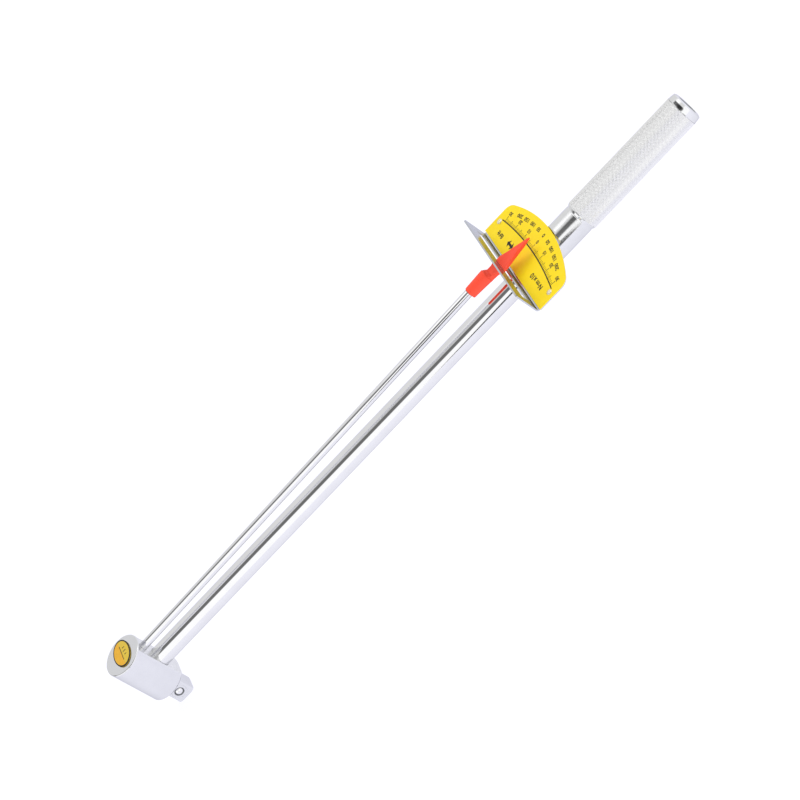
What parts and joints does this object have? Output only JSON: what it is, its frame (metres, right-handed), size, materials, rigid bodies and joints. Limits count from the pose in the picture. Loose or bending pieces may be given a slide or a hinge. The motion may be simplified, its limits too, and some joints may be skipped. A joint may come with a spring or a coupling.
{
  "type": "beam torque wrench",
  "caption": "Deflecting-beam torque wrench with a square drive, a straight pointer rod, a fan-shaped scale on a bent bracket and a knurled round grip.",
  "frame": {"origin": "centre of the square drive's end face", "axes": "+X along the beam from the head to the handle, +Z from the drive towards the side that carries the scale, so -Z is the way the drive points"},
  "size_m": [0.5009, 0.0934, 0.0613],
  "materials": {
    "satin_chrome": "satin",
    "chrome": "polished",
    "label_yellow": "semi-gloss print",
    "badge_yellow": "gloss print",
    "red_plastic": "semi-gloss",
    "spring_steel": "drawn wire",
    "dark_steel": "oiled"
  },
  "bodies": {
    "head": {"drive_head": "satin_chrome", "head_badge": "badge_yellow", "beam_lock_pin": "dark_steel", "detent_spring": "spring_steel", "deflecting_beam": "chrome", "pointer_rod": "chrome", "pointer_tip": "red_plastic"},
    "detent_ball": {"detent_ball": "chrome"},
    "handle": {"handle": "satin_chrome", "handle_end_plug": "dark_steel", "scale_bracket": "chrome", "scale_plate": "label_yellow", "scale_rivet_left": "satin_chrome", "scale_rivet_right": "satin_chrome", "bracket_screw_front": "dark_steel", "bracket_screw_rear": "dark_steel"}
  },
  "joints": [
    {"name": "beam_deflection", "type": "hinge", "parent": "head", "child": "handle", "pos_m": [0.13, 0, 0.0327], "axis": [0, 0, 1], "range_deg": [-8.5, 8.5], "stiffness_Nm_per_rad": 1275, "deforming": ["deflecting_beam"]},
    {"name": "detent_ball_slide", "type": "slide", "parent": "head", "child": "detent_ball", "axis": [0, 1, 0], "range_m": [0, 0.0011], "stiffness_N_per_m": 5000, "springref_m": -0.0015, "deforming": ["detent_spring"]}
  ]
}
